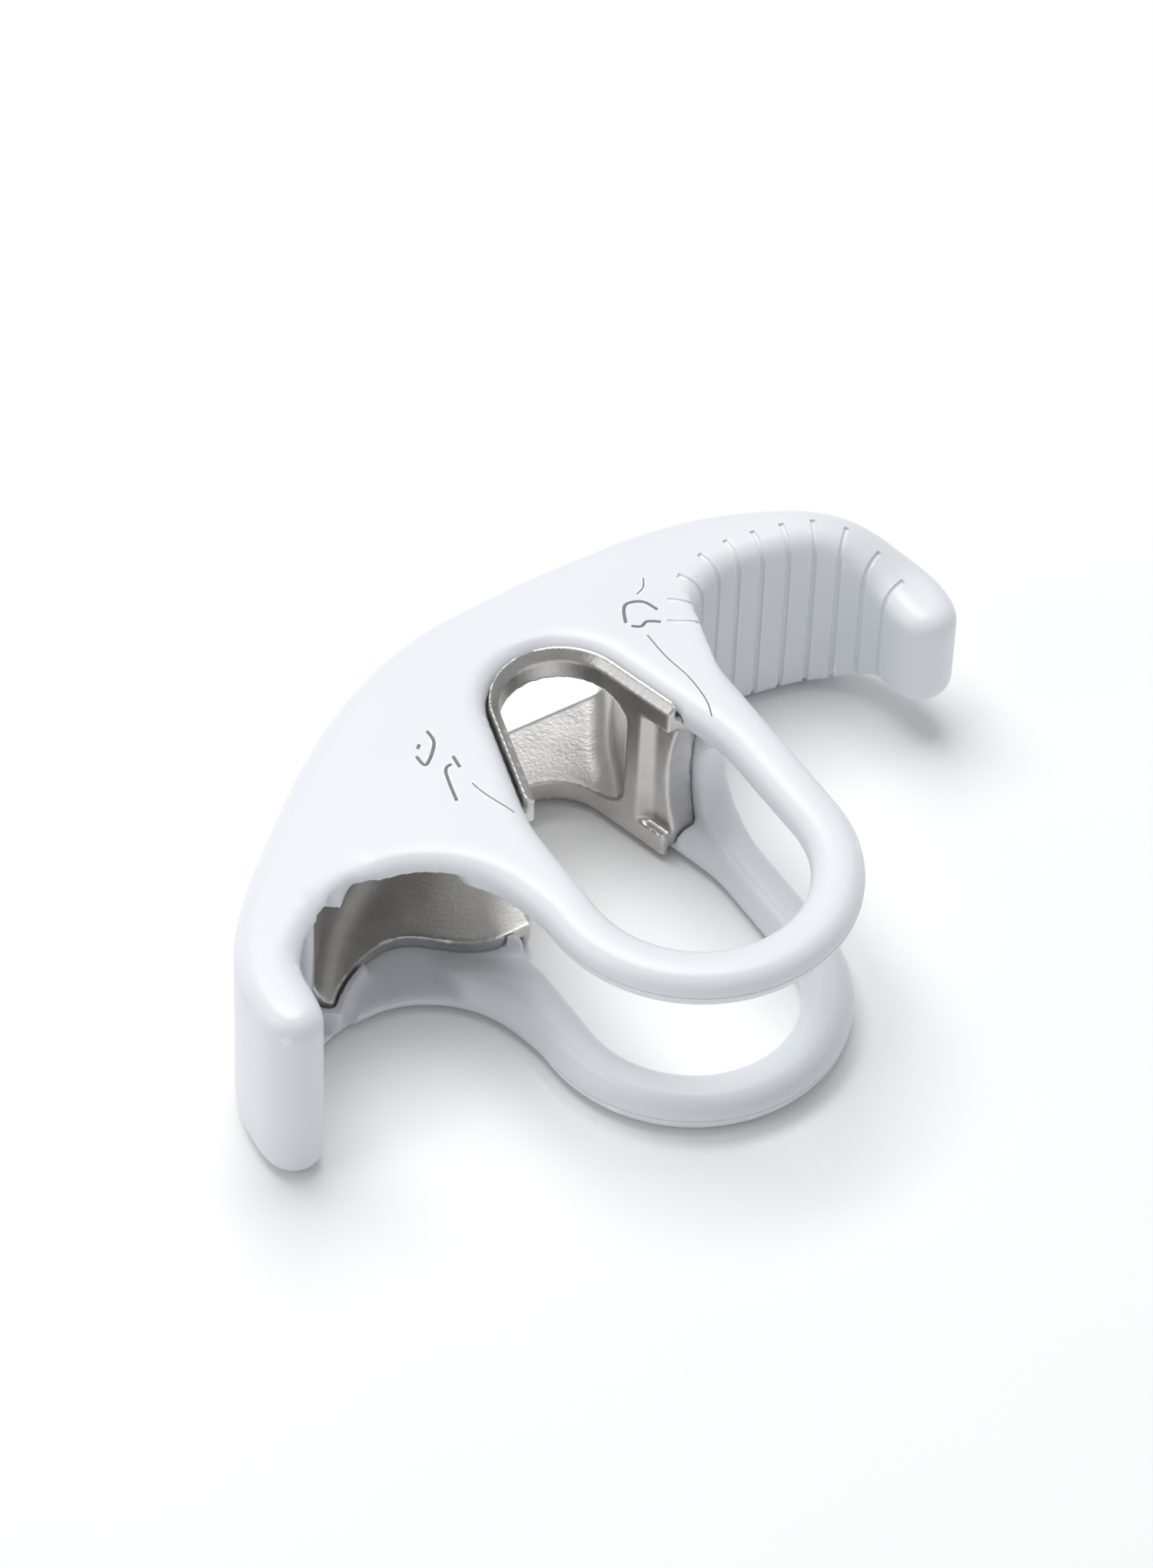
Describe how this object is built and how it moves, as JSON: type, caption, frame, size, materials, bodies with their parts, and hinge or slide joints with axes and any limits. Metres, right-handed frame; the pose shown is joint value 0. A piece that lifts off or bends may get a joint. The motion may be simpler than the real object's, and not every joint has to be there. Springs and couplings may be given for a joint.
{
  "type": "belay device",
  "caption": "Assisted-braking belay device for climbing: a moulded housing with two carabiner loops, a hook arm and a thumb grip, round a cast steel rope channel.",
  "frame": {"origin": "centre of the round carabiner seat, on the plane midway between the two cheeks", "axes": "+Z through the carabiner hole, across the device; +Y from the carabiner loops to the spine; +X to the thumb grip, -X to the hook arm"},
  "size_m": [0.1026, 0.0651, 0.0252],
  "materials": {
    "cast_steel": "tumbled satin stainless steel",
    "white_moulding": "satin injection moulding"
  },
  "bodies": {
    "root": {"brake_insert": "cast_steel", "housing": "white_moulding"}
  },
  "joints": []
}
